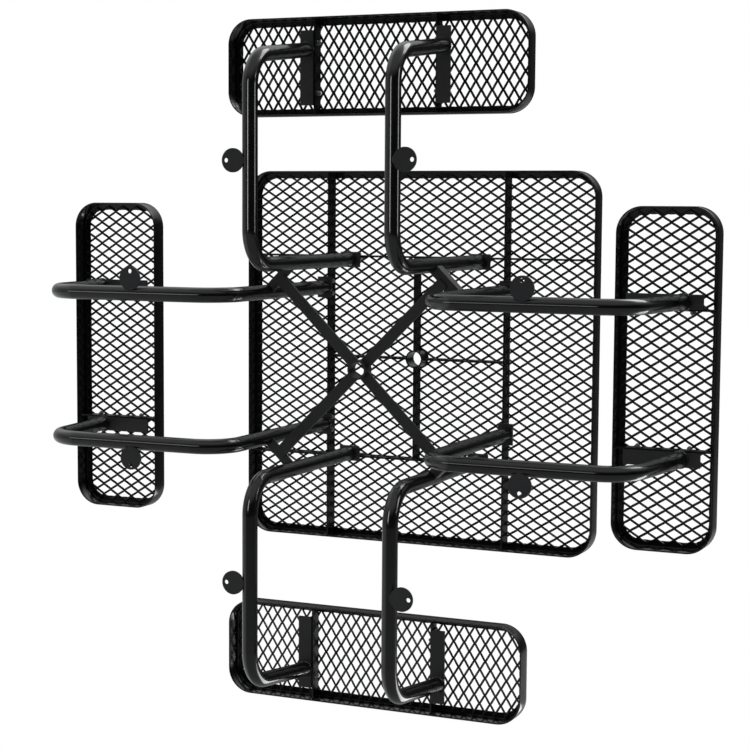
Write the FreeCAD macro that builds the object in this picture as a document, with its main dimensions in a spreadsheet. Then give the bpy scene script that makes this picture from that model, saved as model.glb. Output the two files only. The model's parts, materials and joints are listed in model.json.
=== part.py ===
import FreeCAD, Part
import Sketcher
import math
import os

# Square picnic table with four attached seats, in millimetres.
# Origin on the ground under the middle of the top, +Z up.
# The four seats lie at +X (east), +Y (north), -X (west) and -Y (south).
# Each seat's parts are made in a seat frame: +X outward, +Y along the seat.

os.makedirs("parts", exist_ok=True)
doc = FreeCAD.newDocument("picnic_table")

SIZES = {
    "skin": 4.5,
    "rim_round": 3.5,
    "rim_depth": 56.0,
    "rim_flange": 23.0,
    "top_height": 755.0,
    "top_half": 584.2,
    "top_corner": 80.0,
    "seat_height": 430.0,
    "seat_near": 740.0,
    "seat_far": 1030.0,
    "seat_half": 480.0,
    "seat_corner": 75.0,
    "mesh_thick": 4.0,
    "mesh_gap": 0.5,
    "mesh_long": 51.0,
    "mesh_short": 33.5,
    "strand": 6.6,
    "bar_thick": 5.0,
    "grid_depth": 50.0,
    "grid_along": 297.0,
    "grid_across": 317.0,
    "lap_play": 0.3,
    "seat_bar_depth": 38.0,
    "seat_bar_off": 195.0,
    "tube_radius": 22.0,
    "tube_bore": 18.5,
    "leg_off": 218.0,
    "leg_inner": 307.0,
    "run_end": 803.0,
    "bend_radius": 100.0,
    "leg_seat": 936.0,
    "trim_over": 20.0,
    "plate": 5.0,
    "pad_width": 48.0,
    "pad_length": 66.0,
    "pad_flange": 36.0,
    "pad_flange_off": 2.5,
    "pad_bolt_pitch": 40.0,
    "shoe_width": 42.0,
    "shoe_length": 220.0,
    "shoe_flange": 34.0,
    "shoe_mid": 881.0,
    "shoe_bolt_pitch": 148.0,
    "bolt_radius": 4.0,
    "bolt_hole": 4.6,
    "hex_across": 13.0,
    "head_high": 5.3,
    "nut_high": 6.5,
    "washer_radius": 8.0,
    "washer_thick": 1.6,
    "stub": 3.0,
    "tab_radius": 34.0,
    "tab_off": 44.0,
    "tab_at": 600.0,
    "tab_hole": 6.5,
    "tab_hole_off": 21.0,
    "tab_thick": 5.0,
    "collar_radius": 28.0,
    "collar_bore": 23.5,
    "ring_radius": 29.0,
    "ring_bore": 23.5,
    "ring_high": 44.0,
    "brace_height": 290.0,
    "arm_width": 34.0,
    "arm_thick": 6.0,
    "arm_reach": 366.0,
    "strut_width": 30.0,
    "strut_high": 38.0,
}

sheet = doc.addObject("Spreadsheet::Sheet", "Params")
for row, (name, value) in enumerate(SIZES.items(), 1):
    sheet.set("A%d" % row, name)
    sheet.set("B%d" % row, str(value))
    sheet.setAlias("B%d" % row, name)
doc.recompute()

S = SIZES
PRE = "Params."

TOP_MESH = "Params.top_height - Params.skin - Params.mesh_thick"
SEAT_MESH = "Params.seat_height - Params.skin - Params.mesh_thick"
GRID_LOW = TOP_MESH + " - Params.grid_depth"
SEAT_LOW = SEAT_MESH + " - Params.seat_bar_depth"
grid_low = S["top_height"] - S["skin"] - S["mesh_thick"] - S["grid_depth"]
seat_low = S["seat_height"] - S["skin"] - S["mesh_thick"] - S["seat_bar_depth"]

SIDES = {"east": 0, "north": 90, "west": 180, "south": 270}
UP = FreeCAD.Vector(0, 0, 1)
nodes = []


def keep(obj, label):
    obj.Label = label
    nodes.append(obj)
    return obj


def turned(angle, x=0.0, y=0.0, z=0.0, own=0.0):
    """Placement of a part at x, y, z in a frame turned by angle about Z, itself turned by own."""
    turn = FreeCAD.Placement(FreeCAD.Vector(), FreeCAD.Rotation(UP, angle))
    part = FreeCAD.Placement(FreeCAD.Vector(x, y, z), FreeCAD.Rotation(UP, own))
    return turn.multiply(part)


# ---------------------------------------------------------------- sketches

def new_body(name):
    return doc.addObject("PartDesign::Body", name)


def plane(body, role):
    for item in body.Origin.OriginFeatures:
        if item.Role == role:
            return item
    raise RuntimeError("no plane " + role)


def new_sketch(body, role, name, lift=None):
    sk = body.newObject("Sketcher::SketchObject", name)
    sk.AttachmentSupport = [(plane(body, role), "")]
    sk.MapMode = "FlatFace"
    if lift:
        sk.setExpression("AttachmentOffset.Base.z", lift)
    return sk


def fix(sk, kind, geo, pos, text, value):
    """A distance from the sketch origin to a point, bound to the sheet."""
    if value < 0:
        number = sk.addConstraint(Sketcher.Constraint(kind, geo, pos, -1, 1, -value))
        sk.setExpression("Constraints[%d]" % number, "-(" + text + ")")
    else:
        number = sk.addConstraint(Sketcher.Constraint(kind, -1, 1, geo, pos, value))
        sk.setExpression("Constraints[%d]" % number, text)


def rounded_loop(sk, low_x, high_x, half_y, corner):
    """A closed loop with round corners. Each size is a pair: sheet text and its value."""
    x0, x1, y1, r = low_x[1], high_x[1], half_y[1], corner[1]
    y0 = -y1
    v = FreeCAD.Vector
    first = sk.GeometryCount
    lines = [
        ((x0 + r, y0), (x1 - r, y0)),
        ((x1, y0 + r), (x1, y1 - r)),
        ((x1 - r, y1), (x0 + r, y1)),
        ((x0, y1 - r), (x0, y0 + r)),
    ]
    centres = [(x1 - r, y0 + r), (x1 - r, y1 - r), (x0 + r, y1 - r), (x0 + r, y0 + r)]
    starts = [-math.pi / 2, 0.0, math.pi / 2, math.pi]
    for (a, b), (cx, cy), turn in zip(lines, centres, starts):
        sk.addGeometry(Part.LineSegment(v(a[0], a[1], 0), v(b[0], b[1], 0)), False)
        ring = Part.Circle(v(cx, cy, 0), v(0, 0, 1), r)
        sk.addGeometry(Part.ArcOfCircle(ring, turn, turn + math.pi / 2), False)
    for k in range(4):
        line, arc, after = first + 2 * k, first + 2 * k + 1, first + (2 * k + 2) % 8
        sk.addConstraint(Sketcher.Constraint("Tangent", line, 2, arc, 1))
        sk.addConstraint(Sketcher.Constraint("Tangent", arc, 2, after, 1))
        side = "Horizontal" if k % 2 == 0 else "Vertical"
        sk.addConstraint(Sketcher.Constraint(side, line))
    for k in range(1, 4):
        sk.addConstraint(Sketcher.Constraint("Equal", first + 1, first + 2 * k + 1))
    number = sk.addConstraint(Sketcher.Constraint("Radius", first + 1, r))
    sk.setExpression("Constraints[%d]" % number, corner[0])
    fix(sk, "DistanceX", first + 2, 1, high_x[0], x1)
    fix(sk, "DistanceX", first + 6, 1, low_x[0], x0)
    fix(sk, "DistanceY", first + 4, 1, half_y[0], y1)
    fix(sk, "DistanceY", first, 1, "-(" + half_y[0] + ")", y0)


def circle(sk, x, y, radius):
    """A circle. x and y are pairs of sheet text and value, radius too."""
    v = FreeCAD.Vector
    geo = sk.addGeometry(Part.Circle(v(x[1], y[1], 0), v(0, 0, 1), radius[1]), False)
    number = sk.addConstraint(Sketcher.Constraint("Radius", geo, radius[1]))
    sk.setExpression("Constraints[%d]" % number, radius[0])
    for kind, axis in (("DistanceX", x), ("DistanceY", y)):
        if axis[1] == 0:
            on = -2 if kind == "DistanceX" else -1
            sk.addConstraint(Sketcher.Constraint("PointOnObject", geo, 3, on))
        else:
            fix(sk, kind, geo, 3, axis[0], axis[1])


def polygon(sk, points):
    """A closed outline. Each point is a pair of pairs of sheet text and value."""
    v = FreeCAD.Vector
    first = sk.GeometryCount
    count = len(points)
    for k in range(count):
        a, b = points[k], points[(k + 1) % count]
        start, end = v(a[0][1], a[1][1], 0), v(b[0][1], b[1][1], 0)
        sk.addGeometry(Part.LineSegment(start, end), False)
    for k in range(count):
        after = first + (k + 1) % count
        sk.addConstraint(Sketcher.Constraint("Coincident", first + k, 2, after, 1))
    for k, (x, y) in enumerate(points):
        fix(sk, "DistanceX", first + k, 1, x[0], x[1])
        fix(sk, "DistanceY", first + k, 1, y[0], y[1])


def pad(body, name, sk, length, middle=False):
    feature = body.newObject("PartDesign::Pad", name)
    feature.Profile = sk
    feature.setExpression("Length", length)
    feature.Midplane = middle
    body.Tip = feature
    return feature


def pocket(body, name, sk, length, reverse=False, middle=False):
    feature = body.newObject("PartDesign::Pocket", name)
    feature.Profile = sk
    feature.setExpression("Length", length)
    feature.Reversed = reverse
    feature.Midplane = middle
    body.Tip = feature
    return feature


def cell(name, factor=1):
    """Sheet text and value of one size."""
    return (PRE + name, S[name]) if factor == 1 else ("-" + PRE + name, -S[name])


# ---------------------------------------------------------------- rims

def make_rim(label, low_x, high_x, half_y, corner, height, turn):
    body = new_body(label)

    def inset(amount):
        text = PRE + amount
        less = S[amount]
        lo = (low_x[0] + " + " + text, low_x[1] + less)
        hi = (high_x[0] + " - " + text, high_x[1] - less)
        half = (half_y[0] + " - " + text, half_y[1] - less)
        return lo, hi, half, (corner[0] + " - " + text, corner[1] - less)

    wall = new_sketch(body, "XY_Plane", label + "_wall", PRE + height + " - " + PRE + "rim_depth")
    rounded_loop(wall, low_x, high_x, half_y, corner)
    rounded_loop(wall, *inset("skin"))
    pad(body, label + "_skirt", wall, PRE + "rim_depth")
    edge = new_sketch(body, "XY_Plane", label + "_edge", PRE + height + " - " + PRE + "skin")
    rounded_loop(edge, low_x, high_x, half_y, corner)
    rounded_loop(edge, *inset("rim_flange"))
    flange = pad(body, label + "_flange", edge, PRE + "skin")
    doc.recompute()
    box = flange.Shape.BoundBox
    picked = []
    for number, line in enumerate(flange.Shape.Edges, 1):
        zs = [p.Point.z for p in line.Vertexes]
        mid = line.valueAt((line.FirstParameter + line.LastParameter) / 2)
        on_top = min(zs) > S[height] - 0.01
        near_x = min(mid.x - box.XMin, box.XMax - mid.x)
        near_y = min(mid.y - box.YMin, box.YMax - mid.y)
        if on_top and (min(near_x, near_y) < 0.01 or (near_x + near_y < 0.65 * corner[1])):
            picked.append("Edge%d" % number)
    soft = body.newObject("PartDesign::Fillet", label + "_round")
    soft.Base = (flange, picked)
    soft.setExpression("Radius", PRE + "rim_round")
    body.Tip = soft
    body.Placement = turned(turn)
    return keep(body, label)


make_rim(
    "table_rim", cell("top_half", -1), cell("top_half"), cell("top_half"), cell("top_corner"),
    "top_height", 0,
)
for side, angle in SIDES.items():
    make_rim(
        "seat_rim_" + side, cell("seat_near"), cell("seat_far"), cell("seat_half"),
        cell("seat_corner"), "seat_height", angle,
    )


# ---------------------------------------------------------------- expanded metal sheets

def round_outline(x0, x1, y1, r, steps=8):
    """Points of a rounded rectangle, counter-clockwise."""
    points = []
    for cx, cy, turn in (
        (x1 - r, -y1 + r, -90), (x1 - r, y1 - r, 0), (x0 + r, y1 - r, 90), (x0 + r, -y1 + r, 180),
    ):
        for k in range(steps + 1):
            a = math.radians(turn + 90.0 * k / steps)
            points.append((cx + r * math.cos(a), cy + r * math.sin(a)))
    return points


def clip(poly, window):
    """The part of a convex outline inside a convex window."""
    for k in range(len(window)):
        ax, ay = window[k]
        bx, by = window[(k + 1) % len(window)]
        if math.hypot(bx - ax, by - ay) < 1e-6:
            continue
        kept = []
        for i in range(len(poly)):
            p, q = poly[i], poly[(i + 1) % len(poly)]
            sp = (bx - ax) * (p[1] - ay) - (by - ay) * (p[0] - ax)
            sq = (bx - ax) * (q[1] - ay) - (by - ay) * (q[0] - ax)
            if sp >= 0:
                kept.append(p)
            if (sp >= 0) != (sq >= 0):
                f = sp / (sp - sq)
                kept.append((p[0] + f * (q[0] - p[0]), p[1] + f * (q[1] - p[1])))
        poly = kept
        if len(poly) < 3:
            return []
    return poly


def area(poly):
    total = 0.0
    for k in range(len(poly)):
        p, q = poly[k], poly[(k + 1) % len(poly)]
        total += p[0] * q[1] - q[0] * p[1]
    return total / 2


def tidy(poly):
    out = []
    for p in poly:
        if not out or math.hypot(p[0] - out[-1][0], p[1] - out[-1][1]) > 0.3:
            out.append(p)
    if len(out) > 2 and math.hypot(out[0][0] - out[-1][0], out[0][1] - out[-1][1]) < 0.3:
        out.pop()
    return out


def wire(poly, z=0.0):
    points = [FreeCAD.Vector(x, y, z) for x, y in poly]
    return Part.makePolygon(points + [points[0]])


def mesh_sheet(label, x0, x1, y1, corner, height, turn, centre_hole):
    """One flat sheet of expanded metal: a plate with rows of diamond openings, long way along X."""
    gap = S["skin"] + S["mesh_gap"]
    outer = round_outline(x0 + gap, x1 - gap, y1 - gap, corner - gap)
    inset = S["rim_flange"] - 2.0
    window = round_outline(x0 + inset, x1 - inset, y1 - inset, corner - inset)
    lw, sw = S["mesh_long"] / 2, S["mesh_short"] / 2
    slant = S["strand"] / 2 / math.sin(math.atan2(sw, lw))
    rise = S["strand"] / 2 / math.cos(math.atan2(sw, lw))
    a, b = lw - slant, sw - rise
    mid = (x0 + x1) / 2
    holes = []
    rows = int(y1 / sw) + 2
    cols = int((x1 - x0) / 2 / lw) + 2
    for j in range(-rows, rows + 1):
        for i in range(-cols, cols + 1):
            if (i + j) % 2:
                continue
            cx, cy = mid + i * lw, j * sw
            piece = clip([(cx + a, cy), (cx, cy + b), (cx - a, cy), (cx, cy - b)], window)
            piece = tidy(piece)
            if len(piece) < 3 or area(piece) < 60:
                continue
            if centre_hole and min(math.hypot(px, py) for px, py in piece) < centre_hole + 3:
                continue
            holes.append(wire(piece))
    if centre_hole:
        ring = Part.makeCircle(centre_hole, FreeCAD.Vector(), UP)
        holes.append(Part.Wire([ring]))
    face = Part.Face(wire(outer))
    for hole in holes:
        hole.reverse()
    face.cutHoles(holes)
    face.validate()
    flat = doc.addObject("Part::Feature", label + "_outline")
    flat.Shape = face
    sheet_obj = doc.addObject("Part::Extrusion", label)
    sheet_obj.Base = flat
    sheet_obj.DirMode = "Custom"
    sheet_obj.Dir = UP
    sheet_obj.Solid = True
    sheet_obj.setExpression("LengthFwd", PRE + "mesh_thick")
    sheet_obj.Placement = turned(turn)
    sheet_obj.setExpression("Placement.Base.z", height)
    return keep(sheet_obj, label)


half = S["top_half"]
mesh_sheet(
    "table_mesh", -half, half, half, S["top_corner"], TOP_MESH, 0,
    S["collar_radius"] + S["mesh_gap"],
)
for side, angle in SIDES.items():
    mesh_sheet(
        "seat_mesh_" + side, S["seat_near"], S["seat_far"], S["seat_half"], S["seat_corner"],
        SEAT_MESH, angle, 0,
    )


# ---------------------------------------------------------------- flat bars under the top

def block(name, sizes, corner):
    """A box. sizes and corner are three sheet texts each."""
    box = doc.addObject("Part::Box", name)
    for prop, text in zip(("Length", "Width", "Height"), sizes):
        box.setExpression(prop, text)
    for axis, text in zip("xyz", corner):
        box.setExpression("Placement.Base." + axis, text)
    return box


def rod(name, radius, length, corner, axis="z"):
    """A cylinder along an axis. radius, length and corner are sheet texts."""
    cyl = doc.addObject("Part::Cylinder", name)
    cyl.setExpression("Radius", radius)
    cyl.setExpression("Height", length)
    rotation = {
        "x": FreeCAD.Rotation(FreeCAD.Vector(0, 1, 0), 90),
        "y": FreeCAD.Rotation(FreeCAD.Vector(1, 0, 0), -90),
        "z": FreeCAD.Rotation(),
    }[axis]
    cyl.Placement = FreeCAD.Placement(FreeCAD.Vector(), rotation)
    for letter, text in zip("xyz", corner):
        cyl.setExpression("Placement.Base." + letter, text)
    return cyl


def joined(name, pieces):
    both = doc.addObject("Part::MultiFuse", name)
    both.Shapes = pieces
    return both


def group(name, pieces):
    both = doc.addObject("Part::Compound", name)
    both.Links = pieces
    return both


def less(name, base, tools):
    cut = doc.addObject("Part::Cut", name)
    cut.Base = base
    cut.Tool = tools[0] if len(tools) == 1 else group(name + "_tools", tools)
    return cut


BAR = PRE + "bar_thick"
DEEP = PRE + "grid_depth"
INSIDE = "(Params.top_half - Params.skin)"
LAP = "(Params.bar_thick + 2 * Params.lap_play)"
HALF_DEEP = "(Params.grid_depth / 2 + Params.lap_play)"


def pad_bolt_holes(name, along, across, sign, angle_axis):
    """Two pairs of bolt holes through one grid bar, where the leg pads bolt on."""
    holes = []
    for n, (leg, step) in enumerate(((-1, -1), (-1, 1), (1, -1), (1, 1))):
        where = "%d * Params.leg_off + %d * Params.pad_bolt_pitch / 2" % (leg, step)
        face = "%d * Params.%s - Params.bar_thick" % (sign, across)
        z = GRID_LOW + " + Params.pad_flange / 2"
        spot = (where, face, z) if angle_axis == "y" else (face, where, z)
        length = "3 * Params.bar_thick"
        holes.append(rod("%s_hole_%d" % (name, n), PRE + "bolt_hole", length, spot, angle_axis))
    return holes


for word, sign in (("south", -1), ("north", 1)):
    name = "grid_bar_" + word
    y = "%d * Params.grid_across - Params.bar_thick / 2" % sign
    bar = block(name + "_flat", ("2 * " + INSIDE, BAR, DEEP), ("-" + INSIDE, y, GRID_LOW))
    cuts = pad_bolt_holes(name, "x", "grid_across", sign, "y")
    for n, s in enumerate((-1, 1)):
        x = "%d * Params.grid_along - %s / 2" % (s, LAP)
        low = GRID_LOW + " + Params.grid_depth / 2 - Params.lap_play"
        spot = (x, y + " - 1", low)
        size = (LAP, "Params.bar_thick + 2", "Params.grid_depth")
        cuts.append(block("%s_lap_%d" % (name, n), size, spot))
    keep(less(name, bar, cuts), name)

for word, sign in (("west", -1), ("east", 1)):
    name = "grid_bar_" + word
    x = "%d * Params.grid_along - Params.bar_thick / 2" % sign
    bar = block(name + "_flat", (BAR, "2 * " + INSIDE, DEEP), (x, "-" + INSIDE, GRID_LOW))
    cuts = pad_bolt_holes(name, "y", "grid_along", sign, "x")
    for n, s in enumerate((-1, 1)):
        y = "%d * Params.grid_across - %s / 2" % (s, LAP)
        low = GRID_LOW + " - Params.grid_depth / 2 + Params.lap_play"
        spot = (x + " - 1", y, low)
        size = ("Params.bar_thick + 2", LAP, "Params.grid_depth")
        cuts.append(block("%s_lap_%d" % (name, n), size, spot))
    keep(less(name, bar, cuts), name)

spokes = []
for n, (axis, reach) in enumerate((("x", "grid_along"), ("x", "grid_along"),
                                   ("y", "grid_across"), ("y", "grid_across"))):
    length = "Params.%s - Params.bar_thick / 2 - Params.collar_radius + 1" % reach
    start = "Params.collar_radius - 1"
    if n % 2:
        start = "-(Params.%s - Params.bar_thick / 2)" % reach
    thin = "-Params.bar_thick / 2"
    size = (length, BAR, DEEP) if axis == "x" else (BAR, length, DEEP)
    spot = (start, thin, GRID_LOW) if axis == "x" else (thin, start, GRID_LOW)
    spokes.append(block("centre_bar_%d" % n, size, spot))
core = rod(
    "centre_bar_core", PRE + "collar_radius", "2 * Params.grid_depth",
    ("0", "0", GRID_LOW + " - Params.grid_depth / 2"),
)
keep(less("centre_bars", group("centre_bar_set", spokes), [core]), "centre_bars")


# ---------------------------------------------------------------- collars

def make_ring(label, radius, bore, low, length):
    body = new_body(label)
    sk = new_sketch(body, "XY_Plane", label + "_ring", low)
    circle(sk, ("0", 0), ("0", 0), cell(radius))
    circle(sk, ("0", 0), ("0", 0), cell(bore))
    pad(body, label + "_wall", sk, length)
    return keep(body, label)


make_ring(
    "umbrella_collar", "collar_radius", "collar_bore", GRID_LOW,
    "Params.grid_depth + Params.mesh_thick",
)
make_ring(
    "brace_collar", "ring_radius", "ring_bore", "Params.brace_height - Params.ring_high / 2",
    PRE + "ring_high",
)


# ---------------------------------------------------------------- bent legs

def leg_path(sk):
    """Centre line of a leg: down from the top, along the ground, and up to the seat."""
    v = FreeCAD.Vector
    r = S["bend_radius"]
    low = S["tube_radius"]
    top = grid_low - S["plate"]
    x_in, x_end, x_seat = S["leg_inner"], S["run_end"], S["leg_seat"]
    z_seat = seat_low - S["plate"] + S["trim_over"]
    dx, dz = x_seat - x_end, z_seat - (low + r)
    reach = math.sqrt(dx * dx + dz * dz - r * r)
    lean = math.atan2(dz, dx) + math.atan2(r, reach)
    touch = v(x_end + r * math.sin(lean), low + r - r * math.cos(lean), 0)
    sk.addGeometry(Part.LineSegment(v(x_in, top, 0), v(x_in, low + r, 0)), False)
    ring = Part.Circle(v(x_in + r, low + r, 0), v(0, 0, 1), r)
    sk.addGeometry(Part.ArcOfCircle(ring, math.pi, 1.5 * math.pi), False)
    sk.addGeometry(Part.LineSegment(v(x_in + r, low, 0), v(x_end, low, 0)), False)
    ring = Part.Circle(v(x_end, low + r, 0), v(0, 0, 1), r)
    sk.addGeometry(Part.ArcOfCircle(ring, -math.pi / 2, lean - math.pi / 2), False)
    sk.addGeometry(Part.LineSegment(touch, v(x_seat, z_seat, 0)), False)
    for a, i, b, j in ((0, 2, 1, 1), (1, 2, 2, 1), (2, 2, 3, 1), (3, 2, 4, 1)):
        sk.addConstraint(Sketcher.Constraint("Tangent", a, i, b, j))
    sk.addConstraint(Sketcher.Constraint("Vertical", 0))
    sk.addConstraint(Sketcher.Constraint("Horizontal", 2))
    for geo in (1, 3):
        number = sk.addConstraint(Sketcher.Constraint("Radius", geo, r))
        sk.setExpression("Constraints[%d]" % number, PRE + "bend_radius")
    fix(sk, "DistanceX", 0, 1, PRE + "leg_inner", x_in)
    fix(sk, "DistanceY", 0, 1, GRID_LOW + " - Params.plate", top)
    fix(sk, "DistanceY", 2, 2, PRE + "tube_radius", low)
    fix(sk, "DistanceX", 2, 2, PRE + "run_end", x_end)
    fix(sk, "DistanceX", 4, 2, PRE + "leg_seat", x_seat)
    fix(sk, "DistanceY", 4, 2, SEAT_LOW + " - Params.plate + Params.trim_over", z_seat)


def make_leg(label, angle, sign):
    body = new_body(label)
    path = new_sketch(body, "XZ_Plane", label + "_path")
    leg_path(path)
    ring = new_sketch(body, "XY_Plane", label + "_ring", GRID_LOW + " - Params.plate")
    circle(ring, cell("leg_inner"), ("0", 0), cell("tube_radius"))
    circle(ring, cell("leg_inner"), ("0", 0), cell("tube_bore"))
    pipe = body.newObject("PartDesign::AdditivePipe", label + "_tube")
    pipe.Profile = ring
    pipe.Spine = path
    body.Tip = pipe
    trim = new_sketch(body, "XY_Plane", label + "_trim", SEAT_LOW + " - Params.plate")
    circle(trim, cell("leg_seat"), ("0", 0), ("2 * Params.tube_radius", 2 * S["tube_radius"]))
    pocket(body, label + "_end", trim, "3 * Params.trim_over", True)
    body.Placement = turned(angle, 0, sign * S["leg_off"])
    return keep(body, label)


for side, angle in SIDES.items():
    for number, sign in ((1, -1), (2, 1)):
        make_leg("leg_%s_%d" % (side, number), angle, sign)


# ---------------------------------------------------------------- ground tabs

def make_tab(label, angle, sign):
    body = new_body(label)
    disc = new_sketch(body, "XY_Plane", label + "_disc")
    circle(disc, ("0", 0), cell("tab_off"), cell("tab_radius"))
    spot = ("Params.tab_off + Params.tab_hole_off", S["tab_off"] + S["tab_hole_off"])
    circle(disc, ("0", 0), spot, cell("tab_hole"))
    pad(body, label + "_plate", disc, PRE + "tab_thick")
    cope = new_sketch(body, "YZ_Plane", label + "_cope", "-2 * Params.tab_radius")
    circle(cope, ("0", 0), cell("tube_radius"), cell("tube_radius"))
    pocket(body, label + "_seat", cope, "4 * Params.tab_radius", True)
    own = 0 if sign > 0 else 180
    body.Placement = turned(angle, S["tab_at"], sign * S["leg_off"], 0, own)
    return keep(body, label)


for side, angle in SIDES.items():
    for number, sign in ((1, -1), (2, 1)):
        make_tab("ground_tab_%s_%d" % (side, number), angle, sign)


# ---------------------------------------------------------------- leg pads under the top

def make_pad(name, angle, sign, own):
    """Flat plate on the end of a leg with an upright flange that bolts to a grid bar."""
    flat = block(
        name + "_flat", (PRE + "pad_width", PRE + "pad_length", PRE + "plate"),
        ("-Params.pad_width / 2", "-Params.pad_length / 2", "-Params.plate"),
    )
    wall = block(
        name + "_wall", (PRE + "plate", PRE + "pad_length", PRE + "pad_flange"),
        (PRE + "pad_flange_off", "-Params.pad_length / 2", "0"),
    )
    holes = []
    for n, step in enumerate((-1, 1)):
        spot = ("0", "%d * Params.pad_bolt_pitch / 2" % step, "Params.pad_flange / 2")
        holes.append(rod("%s_hole_%d" % (name, n), PRE + "bolt_hole", "4 * Params.plate", spot, "x"))
    part = less(name, joined(name + "_plates", [flat, wall]), holes)
    part.Placement = turned(angle, S["leg_inner"], sign * S["leg_off"], 0, own)
    part.setExpression("Placement.Base.z", GRID_LOW)
    return part


for side, angle in SIDES.items():
    own = 0 if side in ("north", "south") else 180
    pair = [make_pad("pad_%s_%d" % (side, n), angle, s, own) for n, s in ((1, -1), (2, 1))]
    keep(group("table_brackets_" + side, pair), "table_brackets_" + side)


# ---------------------------------------------------------------- seat bars and seat brackets

for side, angle in SIDES.items():
    name = "seat_bars_" + side
    length = "Params.seat_far - Params.seat_near - 2 * Params.skin"
    bars, holes = [], []
    for n, s in enumerate((-1, 1)):
        y = "%d * Params.seat_bar_off - Params.bar_thick / 2" % s
        start = "Params.seat_near + Params.skin"
        size = (length, BAR, PRE + "seat_bar_depth")
        bars.append(block("%s_%d" % (name, n), size, (start, y, SEAT_LOW)))
        for k, step in enumerate((-1, 1)):
            x = "Params.shoe_mid + %d * Params.shoe_bolt_pitch / 2" % step
            spot = (x, y + " - Params.bar_thick", SEAT_LOW + " + Params.shoe_flange / 2")
            label = "%s_hole_%d_%d" % (name, n, k)
            holes.append(rod(label, PRE + "bolt_hole", "3 * Params.bar_thick", spot, "y"))
    part = less(name, group(name + "_pair", bars), holes)
    part.Placement = turned(angle)
    keep(part, name)

for side, angle in SIDES.items():
    for number, sign in ((1, -1), (2, 1)):
        name = "seat_bracket_%s_%d" % (side, number)
        flat = block(
            name + "_flat", (PRE + "shoe_length", PRE + "shoe_width", PRE + "plate"),
            ("-Params.shoe_length / 2", "0", "-Params.plate"),
        )
        wall = block(
            name + "_wall", (PRE + "shoe_length", PRE + "plate", PRE + "shoe_flange"),
            ("-Params.shoe_length / 2", "0", "0"),
        )
        holes = []
        for n, step in enumerate((-1, 1)):
            spot = ("%d * Params.shoe_bolt_pitch / 2" % step, "-Params.plate",
                    "Params.shoe_flange / 2")
            label = "%s_hole_%d" % (name, n)
            holes.append(rod(label, PRE + "bolt_hole", "3 * Params.plate", spot, "y"))
        part = less(name, joined(name + "_angle", [flat, wall]), holes)
        own = 0 if sign > 0 else 180
        off = sign * (S["seat_bar_off"] + S["bar_thick"] / 2)
        part.Placement = turned(angle, S["shoe_mid"], off, 0, own)
        part.setExpression("Placement.Base.z", SEAT_LOW)
        keep(part, name)


# ---------------------------------------------------------------- brace between the legs

CORNERS = {"north_east": 45, "north_west": 135, "south_west": 225, "south_east": 315}
DIAG = "((Params.leg_inner + Params.leg_off) / sqrt(2))"
SPLIT = "((Params.leg_inner - Params.leg_off) / sqrt(2))"
diag = (S["leg_inner"] + S["leg_off"]) / math.sqrt(2)
split = (S["leg_inner"] - S["leg_off"]) / math.sqrt(2)
FLAT_LOW = "Params.brace_height + Params.arm_thick / 2"
flat_low = S["brace_height"] + S["arm_thick"] / 2

for word, angle in CORNERS.items():
    name = "brace_arm_" + word
    bar = block(
        name + "_flat",
        ("Params.arm_reach - Params.ring_bore", PRE + "arm_width", PRE + "arm_thick"),
        (PRE + "ring_bore", "-Params.arm_width / 2", "Params.brace_height - Params.arm_thick / 2"),
    )
    core = rod(
        name + "_core", PRE + "ring_radius", PRE + "ring_high",
        ("0", "0", "Params.brace_height - Params.ring_high / 2"),
    )
    part = less(name, bar, [core])
    part.Placement = turned(angle)
    keep(part, name)

for word, angle in CORNERS.items():
    name = "leg_strut_" + word
    body = new_body(name)
    sk = new_sketch(body, "XZ_Plane", name + "_angle")
    w, t, tall = S["strut_width"] / 2, S["plate"], S["strut_high"]
    xs = {
        "in": (DIAG + " - Params.strut_width / 2", diag - w),
        "out": (DIAG + " + Params.strut_width / 2", diag + w),
        "web": (DIAG + " + Params.strut_width / 2 - Params.plate", diag + w - t),
    }
    zs = {
        "low": (FLAT_LOW, flat_low),
        "flat": (FLAT_LOW + " + Params.plate", flat_low + t),
        "high": (FLAT_LOW + " + Params.strut_high", flat_low + tall),
    }
    polygon(sk, [
        (xs["in"], zs["low"]), (xs["out"], zs["low"]), (xs["out"], zs["high"]),
        (xs["web"], zs["high"]), (xs["web"], zs["flat"]), (xs["in"], zs["flat"]),
    ])
    pad(body, name + "_bar", sk, "2 * " + SPLIT, True)
    cope = new_sketch(body, "XY_Plane", name + "_cope", FLAT_LOW + " - Params.plate")
    circle(cope, (DIAG, diag), (SPLIT, split), cell("tube_radius"))
    circle(cope, (DIAG, diag), ("-" + SPLIT, -split), cell("tube_radius"))
    pocket(body, name + "_ends", cope, "3 * Params.strut_high", True)
    body.Placement = turned(angle)
    keep(body, name)


# ---------------------------------------------------------------- bolts

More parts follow.
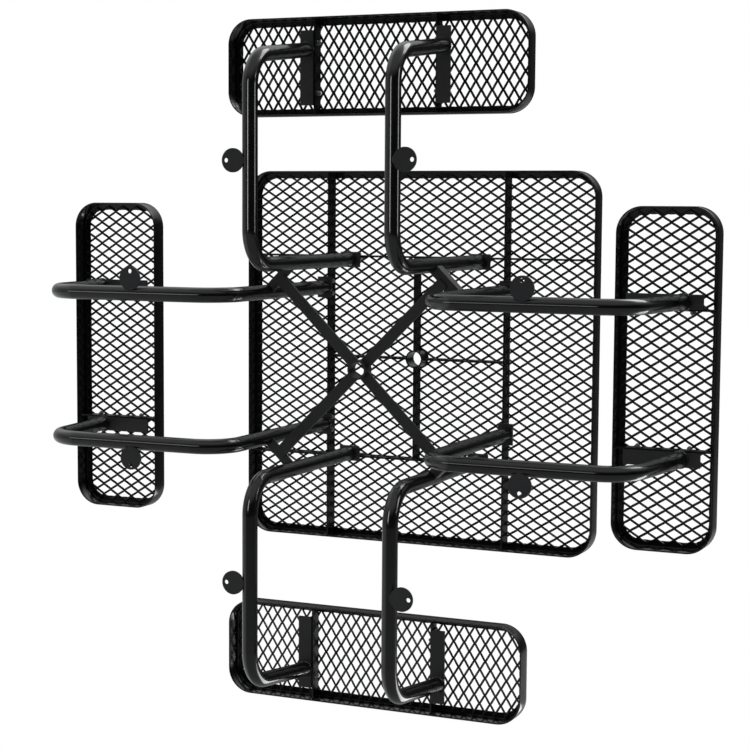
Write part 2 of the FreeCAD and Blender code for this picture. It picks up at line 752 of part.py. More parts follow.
def make_bolt(name, grip):
    """Hex bolt along +Z: head under the origin, washers on both faces, nut above the grip."""
    across = PRE + "hex_across"
    head = doc.addObject("Part::Prism", name + "_head")
    head.Polygon = 6
    head.setExpression("Circumradius", across + " / sqrt(3)")
    head.setExpression("Height", PRE + "head_high")
    head.setExpression("Placement.Base.z", "-Params.head_high - Params.washer_thick")
    disc = rod(name + "_disc", PRE + "washer_radius", PRE + "washer_thick",
               ("0", "0", "-Params.washer_thick"))
    shank = rod(name + "_shank", PRE + "bolt_radius",
                grip + " + 3 * Params.washer_thick + Params.nut_high + Params.stub",
                ("0", "0", "-2 * Params.washer_thick"))
    other = rod(name + "_other", PRE + "washer_radius", PRE + "washer_thick", ("0", "0", grip))
    nut = doc.addObject("Part::Prism", name + "_nut")
    nut.Polygon = 6
    nut.setExpression("Circumradius", across + " / sqrt(3)")
    nut.setExpression("Height", PRE + "nut_high")
    nut.setExpression("Placement.Base.z", grip + " + Params.washer_thick")
    return joined(name, [head, disc, shank, other, nut])


bolt = make_bolt("bolt_master", "(Params.plate + Params.bar_thick)")
doc.recompute()


def bolt_set(label, spots):
    """One group of equal bolts. Each spot is a placement that carries the bolt's own axis."""
    copies = []
    for spot in spots:
        copy = bolt.Shape.copy()
        copy.Placement = spot
        copies.append(copy)
    whole = doc.addObject("Part::Feature", label)
    whole.Shape = Part.makeCompound(copies)
    whole.Placement = FreeCAD.Placement()
    return keep(whole, label)


def lying(x, y, z, direction):
    return FreeCAD.Placement(FreeCAD.Vector(x, y, z), FreeCAD.Rotation(UP, FreeCAD.Vector(*direction)))


seat_spots, table_spots = [], []
for side, angle in SIDES.items():
    turn = turned(angle)
    grip = S["plate"] + S["bar_thick"]
    for sign in (-1, 1):
        for step in (-1, 1):
            x = S["shoe_mid"] + step * S["shoe_bolt_pitch"] / 2
            y = sign * (S["seat_bar_off"] - S["bar_thick"] / 2 + grip)
            z = seat_low + S["shoe_flange"] / 2
            seat_spots.append(turn.multiply(lying(x, y, z, (0, -sign, 0))))
            inward = 1 if side in ("north", "south") else -1
            x = S["leg_inner"] + inward * S["pad_flange_off"]
            y = sign * S["leg_off"] + step * S["pad_bolt_pitch"] / 2
            z = grid_low + S["pad_flange"] / 2
            table_spots.append(turn.multiply(lying(x, y, z, (inward, 0, 0))))
bolt_set("seat_bolts", seat_spots)
bolt_set("table_bolts", table_spots)


# ---------------------------------------------------------------- check and write

doc.recompute()
for obj in doc.Objects:
    if "Invalid" in obj.State or "Error" in obj.State:
        raise RuntimeError("not valid: " + obj.Name + " " + str(obj.State))
for obj in nodes:
    if obj.Shape.isNull() or not obj.Shape.isValid():
        raise RuntimeError("bad shape: " + obj.Label)
for obj in nodes:
    obj.Shape.exportStep("parts/" + obj.Label + ".step")
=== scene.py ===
"""Looks of a square outdoor picnic table with four attached benches, seen from below."""
import math

import bmesh
import bpy
import numpy as np
from mathutils import Matrix, Vector
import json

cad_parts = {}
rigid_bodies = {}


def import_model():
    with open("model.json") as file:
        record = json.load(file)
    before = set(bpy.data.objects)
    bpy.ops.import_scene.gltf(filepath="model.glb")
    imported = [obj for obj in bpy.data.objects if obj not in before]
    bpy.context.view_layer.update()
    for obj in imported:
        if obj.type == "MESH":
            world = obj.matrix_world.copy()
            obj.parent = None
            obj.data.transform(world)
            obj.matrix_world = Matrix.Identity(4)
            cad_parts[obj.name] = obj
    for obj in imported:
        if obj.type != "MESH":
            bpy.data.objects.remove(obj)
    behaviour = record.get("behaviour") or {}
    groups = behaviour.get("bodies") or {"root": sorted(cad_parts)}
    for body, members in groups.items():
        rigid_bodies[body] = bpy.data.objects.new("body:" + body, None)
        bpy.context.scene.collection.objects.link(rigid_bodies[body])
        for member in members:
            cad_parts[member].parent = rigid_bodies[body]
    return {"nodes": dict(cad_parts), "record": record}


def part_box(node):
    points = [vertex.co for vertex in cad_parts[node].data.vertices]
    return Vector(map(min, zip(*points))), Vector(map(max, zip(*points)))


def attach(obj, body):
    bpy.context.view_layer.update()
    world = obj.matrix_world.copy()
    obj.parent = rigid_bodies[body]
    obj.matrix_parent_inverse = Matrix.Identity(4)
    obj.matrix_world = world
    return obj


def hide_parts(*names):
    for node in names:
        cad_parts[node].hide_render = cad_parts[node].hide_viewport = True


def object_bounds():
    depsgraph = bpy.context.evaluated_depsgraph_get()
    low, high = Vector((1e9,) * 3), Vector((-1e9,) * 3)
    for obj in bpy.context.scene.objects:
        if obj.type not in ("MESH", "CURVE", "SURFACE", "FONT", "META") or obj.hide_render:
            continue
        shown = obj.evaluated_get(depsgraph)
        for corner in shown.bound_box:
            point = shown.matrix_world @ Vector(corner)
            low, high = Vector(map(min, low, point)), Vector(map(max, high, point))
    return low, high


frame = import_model()
cad_low, cad_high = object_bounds()
scene = bpy.context.scene
rng = np.random.default_rng(7)
TAU = 2 * math.pi

# What belongs to a seat is built as if the seat lay out along +X, then turned about Z.
SIDES = {"east": 0.0, "north": 90.0, "west": 180.0, "south": 270.0}

# Sizes of the design, in metres; places come from the frame's own boxes.
SKIN = 0.0045               # thickness of a rim's angle
FLANGE = 0.023              # width of a rim's inward flange
EDGE_ROUND = 0.0035         # round on a rim's outer top edge
FILLET = 0.003              # inside a rim's angle
TOP_CORNER = 0.080          # radius of the top's corners
SEAT_CORNER = 0.075         # radius of the seats' corners
COLLAR_HOLE = 0.0265        # radius kept clear of strands round the collar
TUBE = 0.022                # radius of the leg tubes
BEND = 0.100                # radius of their bends
GROUND_RUN = 0.496          # from a leg's upright to the centre of its outer bend
SEAT_REACH = 0.629          # from a leg's upright to the end of its line at the seat
SEAT_END = 0.3985           # height of that end
BEAD = 0.0028               # radius of the round welds
PLATE = 0.005               # thickness of brackets and bars
PAD_BOLT_PITCH = 0.040      # between the two bolts of a bracket under the top
PAD_END = 0.033             # from that bracket's end to the middle between them
PAD_BOLT_IN = 0.0025        # from the middle of its depth to where they start
PAD_BOLT_UP = 0.018         # from its flat up to them
SHOE_BOLT_OFF = 0.074       # from the middle of a seat bracket to its bolts
SHOE_BOLT_DOWN = 0.017      # from its top down to them
LONG = 0.0255               # half of a diamond's long way
SHORT = 0.01675             # half of its short way
STRAND_WIDE = 0.0069        # section of a coated strand
STRAND_THICK = 0.0031
STRAND_TILT = math.radians(17)
STRAND_POINTS = 4           # steps in half a diamond
BOND_HALF = STRAND_WIDE * 0.16  # from a bond's middle to either strand's line
HEX = 0.013                 # across the flats of bolt heads and nuts
HEAD = 0.0053               # height of a head
NUT = 0.0065                # height of a nut
WASHER = 0.0016             # thickness of a washer
THREAD = 0.0040             # radius of the thread
STUB = 0.003                # how far it stands out of a nut

# Outlines of washer, head and nut: places along the bolt's axis, and radii there.
WASHER_LINE = (
    (0.0, 0.0074), (0.0003, 0.0080), (WASHER - 0.0003, 0.0080), (WASHER, 0.0074),
)
HEAD_LINE = (
    (-HEAD, 0.0054), (0.0003 - HEAD, 0.0061), (0.0012 - HEAD, 0.0072),
    (-0.0006, 0.0080), (0.0, 0.0066),
)
NUT_LINE = (
    (0.0, 0.0066), (0.0006, 0.0072), (0.0012, 0.0080),
    (NUT - 0.0012, 0.0080), (NUT - 0.0006, 0.0072), (NUT, 0.0060),
)
# Weld beads at a ground tab: distance from the tube's axis, height, radius and half length.
TAB_BEADS = ((0.0140, 0.0058, 0.0030, 0.0135), (0.0095, 0.0027, 0.0024, 0.0095))


# ---------------------------------------------------------------- camera

def aim_camera():
    """The photograph's viewpoint as fitted to the object: below the ground, looking up."""
    data = bpy.data.cameras.new("photo_camera")
    data.sensor_width, data.lens = 36.0, 88.07
    data.clip_start, data.clip_end = 0.05, 100.0
    cam = bpy.data.objects.new("photo_camera", data)
    scene.collection.objects.link(cam)
    # The picture's own directions, and the place of the lens in metres.
    right = Vector((0.9125656, -0.0064344, 0.4088796))
    down = Vector((0.0434291, 0.9957465, -0.0812582))
    ahead = Vector((-0.4066176, 0.0919107, 0.9089634))
    spot = Vector((2.21617, -0.47590, -4.55300))
    turn = Matrix((right, -down, -ahead)).transposed().to_4x4()
    cam.matrix_world = Matrix.Translation(spot) @ turn
    scene.camera = cam


aim_camera()


# ---------------------------------------------------------------- materials

def node_material(name):
    mat = bpy.data.materials.new(name)
    mat.use_nodes = True
    nodes, links = mat.node_tree.nodes, mat.node_tree.links
    nodes.clear()
    out = nodes.new("ShaderNodeOutputMaterial")
    shader = nodes.new("ShaderNodeBsdfPrincipled")
    links.new(shader.outputs[0], out.inputs[0])
    return mat, nodes, links, shader


def noise(nodes, links, where, scale, detail=4.0, rough=0.55):
    tex = nodes.new("ShaderNodeTexNoise")
    tex.inputs["Scale"].default_value = scale
    tex.inputs["Detail"].default_value = detail
    tex.inputs["Roughness"].default_value = rough
    links.new(where, tex.inputs["Vector"])
    return tex.outputs["Fac"]


def remap(nodes, links, value, low, high, to_low, to_high):
    node = nodes.new("ShaderNodeMapRange")
    links.new(value, node.inputs["Value"])
    limits = {"From Min": low, "From Max": high, "To Min": to_low, "To Max": to_high}
    for socket, number in limits.items():
        node.inputs[socket].default_value = number
    return node.outputs["Result"]


def combine(nodes, links, operation, first, second):
    node = nodes.new("ShaderNodeMath")
    node.operation = operation
    links.new(first, node.inputs[0])
    links.new(second, node.inputs[1])
    return node.outputs[0]


def blend(nodes, links, factor, first, second):
    """Mixes a colour, given as numbers or as a socket, with one given as numbers."""
    mix = nodes.new("ShaderNodeMix")
    mix.data_type = "RGBA"
    links.new(factor, mix.inputs["Factor"])
    if isinstance(first, tuple):
        mix.inputs["A"].default_value = (*first, 1)
    else:
        links.new(first, mix.inputs["A"])
    mix.inputs["B"].default_value = (*second, 1)
    return mix.outputs["Result"]


def coated(name, dark, light, rough, peel, coat, edge=0.0, soften=0.0, metal=0.0):
    """Plastic, powder coat or zinc, with orange peel and uneven gloss.

    The colour drifts between dark and light. With edge, corners look rubbed by that much,
    and soften is the radius they are rounded to in the shading.
    """
    mat, nodes, links, shader = node_material(name)
    where = nodes.new("ShaderNodeTexCoord").outputs["Object"]
    drift = noise(nodes, links, where, 7.0, 3.0)
    dust = noise(nodes, links, where, 55.0, 6.0, 0.65)
    colour = blend(nodes, links, remap(nodes, links, drift, 0.35, 0.65, 0.0, 1.0), dark, light)
    gloss = remap(nodes, links, dust, 0.35, 0.75, rough - 0.05, rough + 0.10)
    if edge:
        bevel = nodes.new("ShaderNodeBevel")
        bevel.samples = 4
        bevel.inputs["Radius"].default_value = soften
        geometry = nodes.new("ShaderNodeNewGeometry")
        dot = nodes.new("ShaderNodeVectorMath")
        dot.operation = "DOT_PRODUCT"
        links.new(bevel.outputs["Normal"], dot.inputs[0])
        links.new(geometry.outputs["Normal"], dot.inputs[1])
        mask = remap(nodes, links, dot.outputs["Value"], 0.97, 0.75, 0.0, edge)
        patchy = remap(nodes, links, dust, 0.42, 0.62, 0.15, 1.0)
        worn = combine(nodes, links, "MULTIPLY", mask, patchy)
        colour = blend(nodes, links, worn, colour, (0.10, 0.10, 0.105))
    links.new(colour, shader.inputs["Base Color"])
    links.new(gloss, shader.inputs["Roughness"])
    fine = nodes.new("ShaderNodeBump")
    fine.inputs["Strength"].default_value = peel
    fine.inputs["Distance"].default_value = 0.0004
    links.new(noise(nodes, links, where, 420.0, 2.0), fine.inputs["Height"])
    wavy = nodes.new("ShaderNodeBump")
    wavy.inputs["Strength"].default_value = peel * 0.6
    wavy.inputs["Distance"].default_value = 0.0025
    links.new(noise(nodes, links, where, 45.0, 2.0), wavy.inputs["Height"])
    links.new(fine.outputs["Normal"], wavy.inputs["Normal"])
    if edge:
        links.new(bevel.outputs["Normal"], fine.inputs["Normal"])
    links.new(wavy.outputs["Normal"], shader.inputs["Normal"])
    shader.inputs["Coat Weight"].default_value = coat
    shader.inputs["Coat Roughness"].default_value = 0.06
    shader.inputs["IOR"].default_value = 1.48
    shader.inputs["Metallic"].default_value = metal
    return mat


MATERIALS = {
    "coated_rim": coated(
        "rim_plastic", (0.0035, 0.0035, 0.0038), (0.0065, 0.0065, 0.007),
        rough=0.20, peel=0.05, coat=0.4,
    ),
    "coated_mesh": coated(
        "mesh_plastic", (0.0025, 0.0025, 0.0028), (0.005, 0.005, 0.0053),
        rough=0.25, peel=0.14, coat=0.2,
    ),
    "coated_tube": coated(
        "tube_gloss", (0.0035, 0.0035, 0.0038), (0.006, 0.006, 0.0065),
        rough=0.17, peel=0.05, coat=0.5,
    ),
    "coated_plate": coated(
        "plate_satin", (0.038, 0.038, 0.040), (0.050, 0.050, 0.052),
        rough=0.42, peel=0.16, coat=0.0, edge=0.5, soften=0.0012,
    ),
    "fasteners": coated(
        "bolt_zinc", (0.26, 0.26, 0.27), (0.40, 0.40, 0.41),
        rough=0.32, peel=0.2, coat=0.0, metal=0.7,
    ),
    "bars": coated(
        "bar_plastic", (0.004, 0.004, 0.0043), (0.008, 0.008, 0.0085),
        rough=0.24, peel=0.12, coat=0.3, edge=0.25, soften=0.0015,
    ),
}


# ---------------------------------------------------------------- building of meshes

class Shells:
    """Closed skins gathered into one piece."""

    def __init__(self):
        self.points, self.faces, self.count = [], [], 0

    def sweep(self, rings, loop=False):
        """Joins rings of points; the ends close on each other or each with a cap."""
        rings = np.asarray(rings, float)
        n, m = rings.shape[:2]
        base = self.count
        self.points.append(rings.reshape(-1, 3))
        self.count += n * m
        steps = n if loop else n - 1
        for i in range(steps):
            a, b = base + i * m, base + (i + 1) % n * m
            for k in range(m):
                j = (k + 1) % m
                self.faces.append((a + k, a + j, b + j, b + k))
        if not loop:
            self.faces.append(tuple(range(base + m - 1, base - 1, -1)))
            self.faces.append(tuple(range(base + (n - 1) * m, base + n * m)))

    def piece(self, name, slot, nodes, turn=0.0, crease=40.0):
        """Makes the skins one object, turned about Z, that stands for the given CAD nodes."""
        points = np.concatenate(self.points)
        a = math.radians(turn)
        c, s = math.cos(a), math.sin(a)
        points = points @ np.array([[c, s, 0], [-s, c, 0], [0, 0, 1]])
        mesh = bpy.data.meshes.new(name)
        mesh.from_pydata(points.tolist(), [], self.faces)
        mesh.update()
        work = bmesh.new()
        work.from_mesh(mesh)
        bmesh.ops.recalc_face_normals(work, faces=work.faces)
        work.to_mesh(mesh)
        work.free()
        mesh.shade_smooth()
        mesh.set_sharp_from_angle(angle=math.radians(crease))
        obj = bpy.data.objects.new(name, mesh)
        scene.collection.objects.link(obj)
        mesh.materials.append(MATERIALS[slot])
        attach(obj, "root")
        if nodes:
            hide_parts(*nodes)
        return obj


def frames(path, up):
    """Directions along a line of points, and two across it."""
    path = np.asarray(path, float)
    along = np.gradient(path, axis=0)
    along /= np.linalg.norm(along, axis=1)[:, None]
    side = np.cross(along, up)
    side /= np.linalg.norm(side, axis=1)[:, None]
    return path, along, side, np.cross(side, along)


def circle(centre, radius, side, lift, count):
    """Points round a centre, from one direction towards another."""
    angles = np.arange(count) * TAU / count
    return [centre + radius * (math.cos(a) * side + math.sin(a) * lift) for a in angles]


def arc(cx, cz, r, start, stop, steps):
    angles = np.linspace(start, stop, steps)
    return [(cx + r * math.cos(a), cz + r * math.sin(a)) for a in angles]


def quarters(turn):
    return int(round(turn / 90.0)) % 4


def seat_box(node, turn):
    """A node's box turned back into the frame in which its seat lies out along +X."""
    low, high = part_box(node)
    x0, y0, x1, y1 = low.x, low.y, high.x, high.y
    for _ in range(quarters(turn)):
        x0, x1, y0, y1 = y0, y1, -x1, -x0
    return (x0, y0, low.z), (x1, y1, high.z)


def turned_point(point, turn):
    """A point of a seat's frame in the frame of the whole object."""
    x, y, z = point
    for _ in range(quarters(turn)):
        x, y = -y, x
    return x, y, z


# ---------------------------------------------------------------- legs

def leg_line(x_in, x_end, x_seat, z_top, z_seat):
    """The leg's line in its own upright plane: down, along the ground and up to the seat."""
    low, apart = TUBE, 0.002    # apart keeps two points from falling together
    dx, dz = x_seat - x_end, z_seat - (low + BEND)
    reach = math.sqrt(dx * dx + dz * dz - BEND * BEND)
    lean = math.atan2(dz, dx) + math.atan2(BEND, reach)
    line = [(x_in, z) for z in np.linspace(z_top, low + BEND + apart, 24)]
    line += arc(x_in + BEND, low + BEND, BEND, math.pi, 1.5 * math.pi, 30)
    line += [(x, low) for x in np.linspace(x_in + BEND + apart, x_end - apart, 20)]
    line += arc(x_end, low + BEND, BEND, -math.pi / 2, lean - math.pi / 2, 26)
    touch = line[-1]
    line += [
        (touch[0] + (x_seat - touch[0]) * t, touch[1] + (z_seat - touch[1]) * t)
        for t in np.linspace(0.02, 1.0, 14)
    ]
    return np.array(line)


def ring_bead(shells, centre, stretch=1.0):
    """A weld bead that runs round a tube: a rippled ring."""
    rings = []
    radius, ripples = TUBE + 0.0006, 26
    steps = 5 * ripples
    for i in range(steps):
        a = TAU * i / steps
        uneven = 0.10 * math.sin(3 * a + centre[0] * 90)
        swell = BEAD * (1 + 0.16 * math.sin(ripples * a) + uneven)
        ring = []
        for k in range(8):
            b = TAU * k / 8
            rr = radius + swell * math.cos(b)
            ring.append((
                centre[0] + rr * math.cos(a) * stretch, centre[1] + rr * math.sin(a),
                centre[2] + swell * math.sin(b),
            ))
        rings.append(ring)
    shells.sweep(rings, loop=True)


def build_leg(side, number):
    """A bent tube with a weld bead at either end."""
    node = "leg_%s_%d" % (side, number)
    turn = SIDES[side]
    low, high = seat_box(node, turn)
    across = (low[1] + high[1]) / 2
    x_in = low[0] + TUBE
    line = leg_line(x_in, x_in + GROUND_RUN, x_in + SEAT_REACH, high[2], SEAT_END)
    path = np.stack([line[:, 0], np.full(len(line), across), line[:, 1]], 1)
    path, along, side_dir, up_dir = frames(path, np.array([0.0, 1.0, 0.0]))
    rings = np.array([circle(p, TUBE, s, u, 40) for p, s, u in zip(path, side_dir, up_dir)])
    # The line ends square to itself; here the tube is cut level with the seat's bracket.
    seat_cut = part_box("seat_bracket_%s_%d" % (side, number))[0].z
    tail, rising = along[-1], 90    # rings before number 90 are never near the bracket
    keep = [
        i for i in range(len(rings))
        if i < rising or rings[i][:, 2].max() < seat_cut - 0.002
    ]
    rings = rings[keep]
    end = rings[-1].copy()
    end += tail * ((seat_cut - end[:, 2]) / tail[2])[:, None]
    rings = np.concatenate([rings, end[None]])
    rings[0, :, 2] = high[2]
    shells = Shells()
    shells.sweep(rings)
    mid, below = end.mean(0), 0.0012
    ring_bead(shells, (x_in, across, high[2] - below))
    ring_bead(shells, (mid[0], mid[1], seat_cut - below), stretch=1.04)
    return shells.piece(node + "_tube", "coated_tube", [node], turn=turn)


for side in SIDES:
    for number in (1, 2):
        build_leg(side, number)


# ---------------------------------------------------------------- rims

def loop_line(x0, x1, half, r):
    """Points and outward directions round a rectangle with corners of radius r."""
    points, outs = [], []
    corners = (
        (x1 - r, half - r, 0), (x0 + r, half - r, 90),
        (x0 + r, -half + r, 180), (x1 - r, -half + r, 270),
    )
    last = None
    for cx, cy, start in corners:
        bend = [math.radians(start + 90 * k / 18) for k in range(19)]
        ways = [(math.cos(a), math.sin(a)) for a in bend]
        arc_points = [((cx + r * wx, cy + r * wy), (wx, wy)) for wx, wy in ways]
        if last is not None:
            straight(points, outs, last, arc_points[0])
        for p, o in arc_points:
            points.append(p)
            outs.append(o)
        last = arc_points[-1]
    straight(points, outs, last, (points[0], outs[0]))
    return np.array(points), np.array(outs)


def straight(points, outs, start, stop):
    """Adds the points between two ends, about 8 mm apart."""
    step = 0.008
    (ax, ay), o = start
    (bx, by), _ = stop
    count = int(math.hypot(bx - ax, by - ay) / step)
    for k in range(1, count):
        points.append((ax + (bx - ax) * k / count, ay + (by - ay) * k / count))
        outs.append(o)


def rim_profile(depth):
    """Outline of the coated angle: (inward, down) from the outer top edge."""
    r, lip = EDGE_ROUND, SKIN / 2
    shape = arc(r, r, r, math.pi, 1.5 * math.pi, 5)
    shape += arc(FLANGE - lip, lip, lip, -math.pi / 2, math.pi / 2, 7)
    shape += arc(SKIN + FILLET, SKIN + FILLET, FILLET, -math.pi / 2, -math.pi, 4)
    shape += arc(lip, depth - lip, lip, 0, math.pi, 7)
    return shape


def build_rim(node, turn, corner):
    """A coated rim whose flange has a slightly uneven inner edge."""
    low, high = seat_box(node, turn)
    shells = Shells()
    points, outs = loop_line(low[0], high[0], (high[1] - low[1]) / 2, corner)
    middle = (low[1] + high[1]) / 2
    profile = rim_profile(high[2] - low[2])
    rings = []
    for i, (p, o) in enumerate(zip(points, outs)):
        # A fold of plastic along the flange's edge, uneven by half a millimetre or so.
        rough = 0.00045 * math.sin(i * 2.1) + 0.0003 * math.sin(i * 0.77 + 1.0)
        ring = []
        for inward, down in profile:
            extra = rough if inward > FLANGE * 0.8 else 0.0
            deep = inward + extra
            ring.append((p[0] - o[0] * deep, p[1] + middle - o[1] * deep, high[2] - down))
        rings.append(ring)
    shells.sweep(rings, loop=True)
    return shells.piece(node + "_coated", "coated_rim", [node], turn=turn, crease=50)


build_rim("table_rim", 0.0, TOP_CORNER)
for side, turn in SIDES.items():
    build_rim("seat_rim_" + side, turn, SEAT_CORNER)


# ---------------------------------------------------------------- expanded metal

def inside(x, y, x0, x1, half, corner, hole):
    """Whether a point lies on the sheet: in the rounded rectangle and clear of the hole."""
    if hole and x * x + y * y < hole * hole:
        return False
    dx = max(x0 + corner - x, 0.0, x - x1 + corner)
    dy = max(abs(y) - half + corner, 0.0)
    if dx > 0 and dy > 0:
        return dx * dx + dy * dy < corner * corner
    return dx < corner and dy < corner


def build_mesh(node, rim, turn, corner, hole):
    """Zigzag strands side by side, each tilted and joined to the next at its bonds."""
    low, high = seat_box(rim, turn)
    z_low, z_high = (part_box(node)[k].z for k in (0, 1))
    level = (z_low + z_high) / 2
    x0, x1, half = low[0], high[0], high[1]
    edge = SKIN + EDGE_ROUND
    bounds = (x0 + edge, x1 - edge, half - edge, corner - edge, hole)
    mid = (x0 + x1) / 2
    # The section is a rectangle with cut corners.
    section = []
    for sx, sz in ((1, 1), (-1, 1), (-1, -1), (1, -1)):
        order = ((0.5, 0.30), (0.34, 0.5)) if sx * sz > 0 else ((0.34, 0.5), (0.5, 0.30))
        for fy, fz in order:
            section.append((sx * fy * STRAND_WIDE, sz * fz * STRAND_THICK))
    section = np.array(section)
    shells = Shells()
    rows = int(half / SHORT) + 2
    cols = int((x1 - x0) / 2 / LONG) + 2
    for j in range(-rows, rows):
        line = []
        for i in range(-cols * STRAND_POINTS, cols * STRAND_POINTS + 1):
            u = i / STRAND_POINTS
            cell = math.floor(u)
            t = u - cell
            up = (cell + j) % 2 == 1
            wave = t if not up else 1 - t
            curve = 0.5 - 0.5 * math.cos(math.pi * wave)
            rise = wave * 0.90 + curve * 0.10   # nearly straight from bond to bond
            y = j * SHORT + BOND_HALF + rise * (SHORT - 2 * BOND_HALF)
            line.append((mid + u * LONG, y))
        run = []
        for point in line + [None]:
            if point is not None and inside(*point, *bounds):
                run.append(point)
                continue
            if len(run) > 3:
                add_strand(shells, np.array(run), level, section)
            run = []
    return shells.piece(node + "_strands", "coated_mesh", [node], turn=turn, crease=55)


def add_strand(shells, run, level, section):
    """One strand along a run of points, tilted about its own length and not quite level."""
    wobble = rng.normal(0, 0.00012, (len(run), 1))
    path = np.concatenate([run, level + wobble], 1)
    along = np.gradient(path, axis=0)
    along /= np.linalg.norm(along, axis=1)[:, None]
    across = np.cross(np.array([0.0, 0.0, 1.0]), along)
    across /= np.linalg.norm(across, axis=1)[:, None]
    lift = np.cross(along, across)
    c, s = math.cos(STRAND_TILT), math.sin(STRAND_TILT)
    a = across * c + lift * s
    b = lift * c - across * s
    flat, up = section[None, :, :1], section[None, :, 1:]
    shells.sweep(path[:, None, :] + flat * a[:, None, :] + up * b[:, None, :])


build_mesh("table_mesh", "table_rim", 0.0, TOP_CORNER, COLLAR_HOLE)
for side, turn in SIDES.items():
    build_mesh("seat_mesh_" + side, "seat_rim_" + side, turn, SEAT_CORNER, 0.0)


# ---------------------------------------------------------------- tab welds and bolts

def wavy_rod(shells, start, stop, radius, ripples):
    """A short weld bead between two points: rippled and closed by round ends."""
    start, stop = np.array(start), np.array(stop)
    way = (stop - start) / np.linalg.norm(stop - start)
    side = np.cross(way, (0.0, 0.0, 1.0))
    lift = np.cross(side, way)
    rings = []
    for t in np.linspace(0.0, 1.0, ripples * 6 + 1):
        close = math.sqrt(max(1 - (2 * t - 1) ** 8, 0.02))
        r = radius * close * (1 + 0.12 * math.cos(TAU * ripples * t))
        rings.append(circle(start + (stop - start) * t, r, side, lift, 10))
    shells.sweep(rings)


def build_tab_weld(side, number):
    """Beads above and below the neck between a ground tab and the tube."""
    node = "ground_tab_%s_%d" % (side, number)
    turn = SIDES[side]
    low, high = seat_box(node, turn)
    leg_low, leg_high = seat_box("leg_%s_%d" % (side, number), turn)
    axis = (leg_low[1] + leg_high[1]) / 2
    sign = 1 if low[1] + high[1] > 0 else -1
    middle = (low[0] + high[0]) / 2
    shells = Shells()
    for off, z, r, half in TAB_BEADS:
        y = axis + sign * off
        wavy_rod(shells, (middle - half, y, z), (middle + half, y, z), r, ripples=7)
    return shells.piece(node + "_weld", "coated_tube", [], turn=turn)


for side in SIDES:
    for number in (1, 2):
        build_tab_weld(side, number)


def turned_rings(shells, origin, axis, start, outline, hexagon=False):
    """Rings round a bolt's axis, from a start along it, cut by six flats for a hexagon."""
    axis = np.array(axis, float)
    side = np.cross(axis, (0.0, 0.0, 1.0))
    lift = np.cross(side, axis)
    sector = TAU / 6
    rings = []
    for z, r in outline:
        ring = []
        for k in range(36):
            a = TAU * k / 36
            flat = HEX / 2 / math.cos((a + sector / 4) % sector - sector / 2)
            reach = min(r, flat) if hexagon else r
            across = reach * (math.cos(a) * side + math.sin(a) * lift)
            ring.append(np.array(origin) + axis * (start + z) + across)
        rings.append(ring)
    shells.sweep(rings)


def add_bolt(shells, origin, axis):
    """Chamfered head, washers, nut and threaded end, as long as the two plates are thick."""
    grip = 2 * PLATE
    for start in (-WASHER, grip):
        turned_rings(shells, origin, axis, start, WASHER_LINE)
    turned_rings(shells, origin, axis, -WASHER, HEAD_LINE, hexagon=True)
    turned_rings(shells, origin, axis, grip + WASHER, NUT_LINE, hexagon=True)
    # The thread starts inside the nut; each ring is a step further and 0.24 of a turn on.
    sunk, step, cut, turns = 0.001, 0.0003, 0.0003, 0.24
    thread = [(step * k, THREAD - cut * abs((turns * k) % 1 * 2 - 1)) for k in range(12)]
    thread.append((sunk + STUB, 0.0032))
    turned_rings(shells, origin, axis, grip + WASHER + NUT - sunk, thread)


def build_bolts():
    """Bolts through the seats' brackets and through those under the top."""
    seat, table = Shells(), Shells()
    for side, turn in SIDES.items():
        for number, sign in ((1, -1), (2, 1)):
            low, high = seat_box("seat_bracket_%s_%d" % (side, number), turn)
            y = (low[1] if sign > 0 else high[1]) + sign * PLATE
            for step in (-1, 1):
                x = (low[0] + high[0]) / 2 + step * SHOE_BOLT_OFF
                spot = (x, y, high[2] - SHOE_BOLT_DOWN)
                add_bolt(seat, turned_point(spot, turn), turned_point((0, -sign, 0), turn))
        low, high = seat_box("table_brackets_" + side, turn)
        inward = 1 if side in ("north", "south") else -1
        x = (low[0] + high[0]) / 2 + inward * PAD_BOLT_IN
        for sign in (-1, 1):
            for step in (-1, 1):
                y = sign * (high[1] - PAD_END) + step * PAD_BOLT_PITCH / 2
                spot = (x, y, low[2] + PLATE + PAD_BOLT_UP)
                add_bolt(table, turned_point(spot, turn), turned_point((inward, 0, 0), turn))
    seat.piece("seat_bolts_detailed", "fasteners", ["seat_bolts"], crease=25)
    table.piece("table_bolts_detailed", "fasteners", ["table_bolts"], crease=25)


build_bolts()


# ---------------------------------------------------------------- CAD nodes that stay

SLOTS = {p["node"]: p["material_slot"] for p in frame["record"]["subparts"]}
for name, obj in frame["nodes"].items():
    is_bar = "bar" in name and "bracket" not in name
    look = "bars" if is_bar else SLOTS.get(name, "coated_plate")
    obj.data.materials.clear()
    obj.data.materials.append(MATERIALS[look])


# ---------------------------------------------------------------- floor, light and background

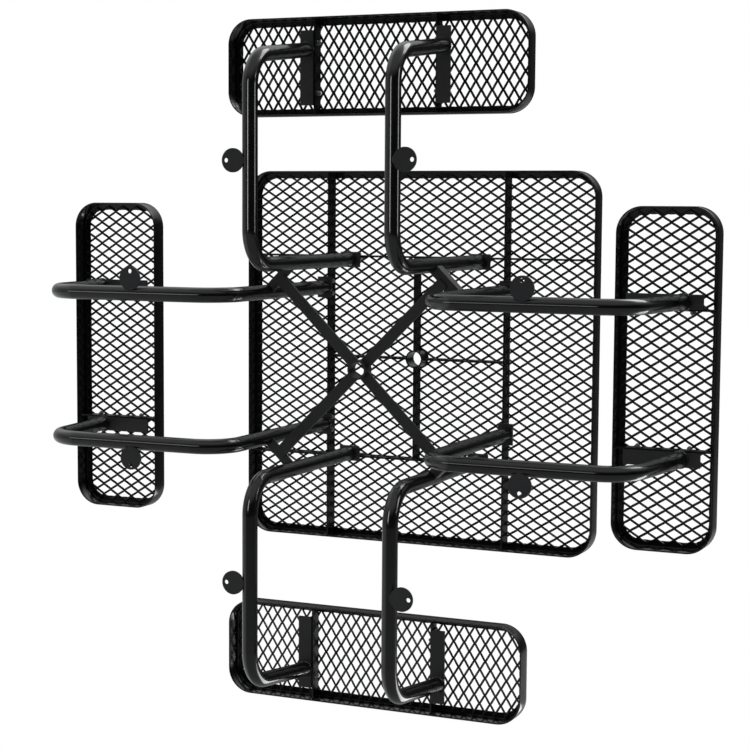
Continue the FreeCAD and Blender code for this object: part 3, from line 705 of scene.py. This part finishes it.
def build_floor():
    """A pale plane, clear from below because the photograph is taken from there."""
    mesh = bpy.data.meshes.new("floor")
    size, level = 30.0, cad_low.z - 0.001
    corners = ((-size, -size), (size, -size), (size, size), (-size, size))
    mesh.from_pydata([(x, y, level) for x, y in corners], [], [(0, 1, 2, 3)])
    floor = bpy.data.objects.new("floor", mesh)
    scene.collection.objects.link(floor)
    mat, nodes, links, shader = node_material("pale_floor")
    where = nodes.new("ShaderNodeTexCoord").outputs["Object"]
    tone = remap(nodes, links, noise(nodes, links, where, 3.0), 0.3, 0.7, 0.0, 1.0)
    colour = blend(nodes, links, tone, (0.78, 0.78, 0.77), (0.83, 0.83, 0.82))
    links.new(colour, shader.inputs["Base Color"])
    shader.inputs["Roughness"].default_value = 0.7
    clear = nodes.new("ShaderNodeBsdfTransparent")
    back = nodes.new("ShaderNodeNewGeometry").outputs["Backfacing"]
    choose = nodes.new("ShaderNodeMixShader")
    links.new(back, choose.inputs[0])
    links.new(shader.outputs[0], choose.inputs[1])
    links.new(clear.outputs[0], choose.inputs[2])
    out = next(n for n in nodes if n.type == "OUTPUT_MATERIAL")
    links.new(choose.outputs[0], out.inputs[0])
    mesh.materials.append(mat)
    for flag in ("visible_glossy", "visible_diffuse", "visible_shadow", "visible_transmission"):
        setattr(floor, flag, False)


def build_world():
    """White behind everything, and a sky for the object to reflect.

    The sky is bright above to the south, with weaker bands to the west, north and south.
    """
    world = bpy.data.worlds.new("studio")
    scene.world = world
    world.use_nodes = True
    nodes, links = world.node_tree.nodes, world.node_tree.links
    nodes.clear()
    out = nodes.new("ShaderNodeOutputWorld")
    seen = nodes.new("ShaderNodeBackground")
    seen.inputs["Color"].default_value = (1, 1, 1, 1)
    split = nodes.new("ShaderNodeSeparateXYZ")
    links.new(nodes.new("ShaderNodeTexCoord").outputs["Generated"], split.inputs[0])
    x, y, z = (split.outputs[axis] for axis in "XYZ")
    above = remap(nodes, links, z, 0.0, 0.7, 0.0, 0.6)
    ahead = remap(nodes, links, y, -0.15, -0.75, 0.03, 1.0)
    total = combine(nodes, links, "MULTIPLY", above, ahead)
    west = remap(nodes, links, x, -0.50, -0.62, 0.0, 0.35)
    north = remap(nodes, links, y, 0.12, 0.25, 0.02, 0.28)
    south = remap(nodes, links, y, -0.35, -0.7, 0.0, 0.5)
    for part in (west, north, south):
        total = combine(nodes, links, "ADD", total, part)
    lit = nodes.new("ShaderNodeBackground")
    lit.inputs["Color"].default_value = (0.96, 0.98, 1.0, 1)
    links.new(total, lit.inputs["Strength"])
    path = nodes.new("ShaderNodeLightPath")
    mix = nodes.new("ShaderNodeMixShader")
    links.new(path.outputs["Is Camera Ray"], mix.inputs[0])
    links.new(lit.outputs[0], mix.inputs[1])
    links.new(seen.outputs[0], mix.inputs[2])
    links.new(mix.outputs[0], out.inputs[0])


def softbox(name, toward, distance, size, radiance, along=(1, 0, 0), only=None):
    """A panel that way from the object, facing it, its first size along the given direction.

    With only, it lights the pieces of that collection alone.
    """
    data = bpy.data.lights.new(name, "AREA")
    data.shape = "RECTANGLE"
    data.size, data.size_y = size
    data.energy = radiance * math.pi * size[0] * size[1]
    lamp = bpy.data.objects.new(name, data)
    scene.collection.objects.link(lamp)
    middle, way = Vector((0, 0, 0.4)), Vector(toward).normalized()
    lamp.location = middle + way * distance
    side = (Vector(along) - way * way.dot(Vector(along))).normalized()
    lamp.rotation_euler = Matrix((side, way.cross(side), way)).transposed().to_euler()
    lamp.visible_camera = False
    if only:
        lamp.light_linking.receiver_collection = only


def tubes_of(*sides):
    """A collection of the leg tubes on those sides, for a light that is theirs alone."""
    group = bpy.data.collections.new("tubes_" + sides[0])
    for obj in scene.objects:
        if obj.name.endswith("_tube") and obj.name.split("_")[1] in sides:
            group.objects.link(obj)
    return group


build_floor()
build_world()
# The first three make the highlight lines on the leg tubes, the last two light everything.
across, upright = tubes_of("east", "west"), tubes_of("north", "south")
softbox("long_line", (-0.41, -0.15, -0.90), 4.8, (3.6, 0.6), 2.4, only=across)
softbox("south_line", (-0.143, -0.26, -0.95), 4.6, (2.2, 0.65), 7.5, (0, 1, 0), upright)
softbox("edge_line", (0.97, -0.26, 0.19), 4.6, (2.2, 0.8), 5.5, (0, 1, 0), upright)
softbox("high_front", (0.40, -0.75, 0.50), 5.0, (3.0, 2.0), 4.0)
softbox("high_back", (0.5, 0.65, 0.6), 5.0, (3.0, 2.0), 4.0)
scene.view_settings.view_transform = "Standard"
scene.cycles.transparent_max_bounces = 16
